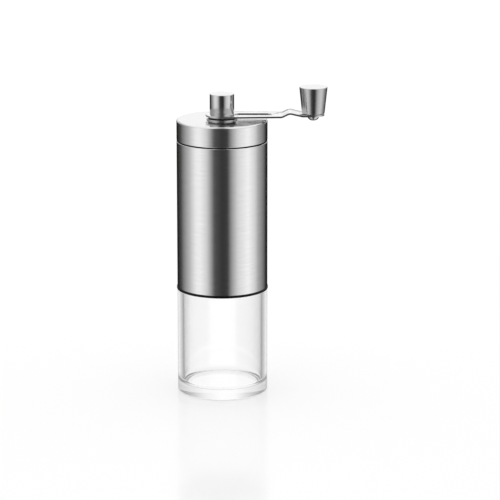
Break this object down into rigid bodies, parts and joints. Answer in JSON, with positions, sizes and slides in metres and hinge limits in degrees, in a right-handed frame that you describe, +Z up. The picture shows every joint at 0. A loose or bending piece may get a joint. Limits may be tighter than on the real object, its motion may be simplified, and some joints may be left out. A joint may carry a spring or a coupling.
{
  "type": "hand crank coffee grinder",
  "caption": "Slim cylindrical hand grinder for coffee beans: brushed steel barrel and lid, clear cup below, and a removable crank with a turning knob.",
  "frame": {"origin": "centre of the cup's foot, on the surface that the grinder stands on", "axes": "+Z up along the grinder's axis, +X along the crank arm at rest, towards the knob"},
  "size_m": [0.083, 0.0506, 0.1712],
  "materials": {
    "clear_acrylic": "clear moulded acrylic, polished",
    "brushed_steel": "stainless steel brushed round the axis",
    "polished_steel": "stainless steel, turned and polished",
    "satin_strip_steel": "stainless strip, satin",
    "turned_knob_steel": "stainless steel, turned, satin",
    "machined_steel": "machined steel",
    "spring_steel": "drawn spring wire",
    "black_abs": "moulded ABS, fine texture",
    "black_rubber": "moulded rubber",
    "black_nylon": "moulded nylon",
    "white_ceramic": "fired ceramic, unglazed",
    "bronze": "sintered bronze",
    "brass": "machined brass"
  },
  "bodies": {
    "receiver": {"receiver_cup": "clear_acrylic", "cup_o_ring": "black_rubber"},
    "barrel": {"barrel": "brushed_steel", "burr_carrier": "black_abs", "outer_burr": "white_ceramic", "burr_clamp_ring": "machined_steel", "clamp_screws": "machined_steel", "upper_bush": "bronze", "lower_bush": "bronze"},
    "lid": {"lid_shell": "brushed_steel", "lid_insert": "black_abs", "lid_seal": "black_rubber", "lid_bush": "machined_steel"},
    "shaft": {"drive_shaft": "machined_steel", "shaft_clip": "machined_steel", "thrust_washer": "machined_steel", "burr_spring": "spring_steel"},
    "cone": {"inner_burr": "white_ceramic", "burr_driver": "black_nylon"},
    "adjuster": {"adjuster_dial": "black_nylon", "adjuster_nut": "brass"},
    "crank": {"crank_arm": "satin_strip_steel", "crank_hub": "polished_steel", "crank_washer": "black_nylon", "knob_pin": "machined_steel", "knob_washer": "machined_steel"},
    "knob": {"knob": "turned_knob_steel", "knob_bush": "black_nylon"}
  },
  "joints": [
    {"name": "barrel_lift", "type": "slide", "parent": "receiver", "child": "barrel", "axis": [0, 0, 1], "range_m": [0, 0.04]},
    {"name": "lid_lift", "type": "slide", "parent": "barrel", "child": "lid", "axis": [0, 0, 1], "range_m": [0, 0.03]},
    {"name": "crank_turn", "type": "hinge", "parent": "barrel", "child": "shaft", "pos_m": [0, 0, 0.0945], "axis": [0, 0, 1], "continuous": true},
    {"name": "crank_lift", "type": "slide", "parent": "shaft", "child": "crank", "axis": [0, 0, 1], "range_m": [0, 0.06]},
    {"name": "knob_spin", "type": "hinge", "parent": "crank", "child": "knob", "pos_m": [0.05, 0, 0.161], "axis": [0, 0, 1], "continuous": true},
    {"name": "burr_slide", "type": "slide", "parent": "shaft", "child": "cone", "axis": [0, 0, 1], "range_m": [-0.00151, 0.00001], "deforming": ["burr_spring"]},
    {"name": "adjuster_turn", "type": "hinge", "parent": "cone", "child": "adjuster", "pos_m": [0, 0, 0.0622], "axis": [0, 0, 1], "range_deg": [-675, 0]}
  ],
  "couplings": [
    {"joint": "lid_lift", "follows": "crank_lift", "ratio": 0.5},
    {"joint": "burr_slide", "follows": "adjuster_turn", "m_per_rad": 0.00012732}
  ]
}
